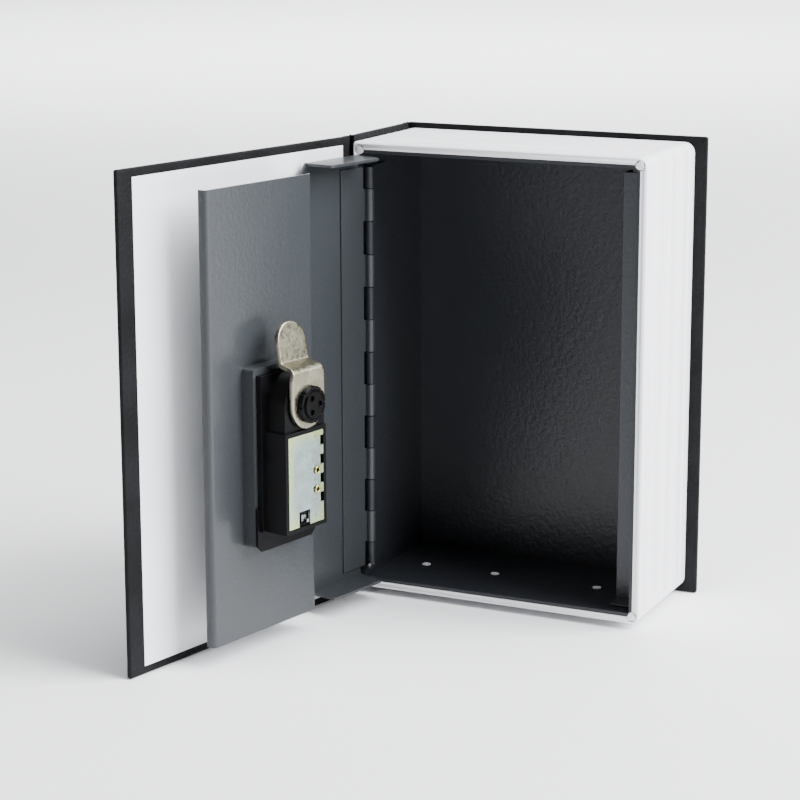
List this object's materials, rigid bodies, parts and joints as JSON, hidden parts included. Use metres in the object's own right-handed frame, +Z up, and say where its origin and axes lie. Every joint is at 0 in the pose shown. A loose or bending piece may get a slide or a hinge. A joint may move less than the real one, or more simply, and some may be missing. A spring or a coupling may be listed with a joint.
{
  "type": "book diversion safe",
  "caption": "Book-shaped diversion safe standing open: hollow page block with a steel box, stepped steel door on a piano hinge and a dial combination lock with a turning cam.",
  "frame": {"origin": "middle of the back cover's tail edge, halfway through its board, on the surface the book stands on", "axes": "+Z up along the height of the book, +Y out through the back cover, +X from the spine to the fore-edge"},
  "size_m": [0.1506, 0.1796, 0.18],
  "materials": {
    "cover_cloth": "matte grained bookcloth over board",
    "endpaper": "smooth pale paper",
    "page_plastic": "white moulded plastic with page ribs",
    "tray_paint": "dark grey hammer paint, low gloss",
    "door_paint": "grey hammer paint, satin",
    "black_plastic": "satin black",
    "zinc": "zinc plated, scratched, slightly yellow",
    "steel": "bright turned steel",
    "brass": "bright brass"
  },
  "bodies": {
    "case": {"back_cover": "cover_cloth", "spine_board": "cover_cloth", "rear_joint_strip": "cover_cloth", "page_block": "page_plastic", "steel_tray": "tray_paint", "strike_channel": "tray_paint", "tray_hinge_leaf": "tray_paint", "hinge_pin": "steel"},
    "front_joint": {"front_joint_strip": "cover_cloth"},
    "front_board": {"front_cover": "cover_cloth", "front_endpaper": "endpaper"},
    "door": {"door_panel": "door_paint", "door_hinge_leaf": "door_paint", "lock_bezel": "black_plastic", "lock_housing": "black_plastic", "lock_back_plate": "zinc", "eyelet_lower": "brass", "eyelet_upper": "brass", "dial_shaft": "steel", "detent_spring": "steel"},
    "cam": {"cam_lever": "zinc", "cam_cap": "black_plastic", "knob": "black_plastic", "spindle": "steel"},
    "fence": {"fence_bar": "steel"},
    "code_lever": {"change_lever": "zinc"},
    "dial_wheel_1": {"dial_1": "black_plastic", "dial_sleeve_1": "brass"},
    "dial_wheel_2": {"dial_2": "black_plastic", "dial_sleeve_2": "brass"},
    "dial_wheel_3": {"dial_3": "black_plastic", "dial_sleeve_3": "brass"},
    "dial_wheel_4": {"dial_4": "black_plastic", "dial_sleeve_4": "brass"}
  },
  "joints": [
    {"name": "spine_fold", "type": "hinge", "parent": "case", "child": "front_joint", "pos_m": [-0.06285, -0.0517, 0.09], "axis": [0, 0, -1], "range_deg": [0, 78]},
    {"name": "cover_fold", "type": "hinge", "parent": "front_joint", "child": "front_board", "pos_m": [-0.0618, -0.0556, 0.09], "axis": [0, 0, 1], "range_deg": [-12, 101.6]},
    {"name": "door_swing", "type": "hinge", "parent": "case", "child": "door", "pos_m": [-0.05465, -0.05145, 0.09], "axis": [0, 0, 1], "range_deg": [-12, 101.6]},
    {"name": "lock_turn", "type": "hinge", "parent": "door", "child": "cam", "pos_m": [-0.04032, -0.13085, 0.0941], "axis": [0.9796, -0.2011, 0], "range_deg": [0, 90]},
    {"name": "fence_slide", "type": "slide", "parent": "door", "child": "fence", "axis": [0, 0, -1], "range_m": [0, 0.0008]},
    {"name": "code_lever_slide", "type": "slide", "parent": "door", "child": "code_lever", "axis": [-0.2011, -0.9796, 0], "range_m": [0, 0.0022]},
    {"name": "dial_1_spin", "type": "hinge", "parent": "door", "child": "dial_wheel_1", "pos_m": [-0.05055, -0.12944, 0.0584], "axis": [0, 0, 1], "continuous": true},
    {"name": "dial_2_spin", "type": "hinge", "parent": "door", "child": "dial_wheel_2", "pos_m": [-0.05055, -0.12944, 0.0654], "axis": [0, 0, 1], "continuous": true},
    {"name": "dial_3_spin", "type": "hinge", "parent": "door", "child": "dial_wheel_3", "pos_m": [-0.05055, -0.12944, 0.0724], "axis": [0, 0, 1], "continuous": true},
    {"name": "dial_4_spin", "type": "hinge", "parent": "door", "child": "dial_wheel_4", "pos_m": [-0.05055, -0.12944, 0.0794], "axis": [0, 0, 1], "continuous": true}
  ],
  "couplings": [
    {"joint": "cover_fold", "follows": "door_swing", "ratio": 1},
    {"joint": "fence_slide", "follows": "lock_turn", "m_per_rad": 0.0005}
  ]
}
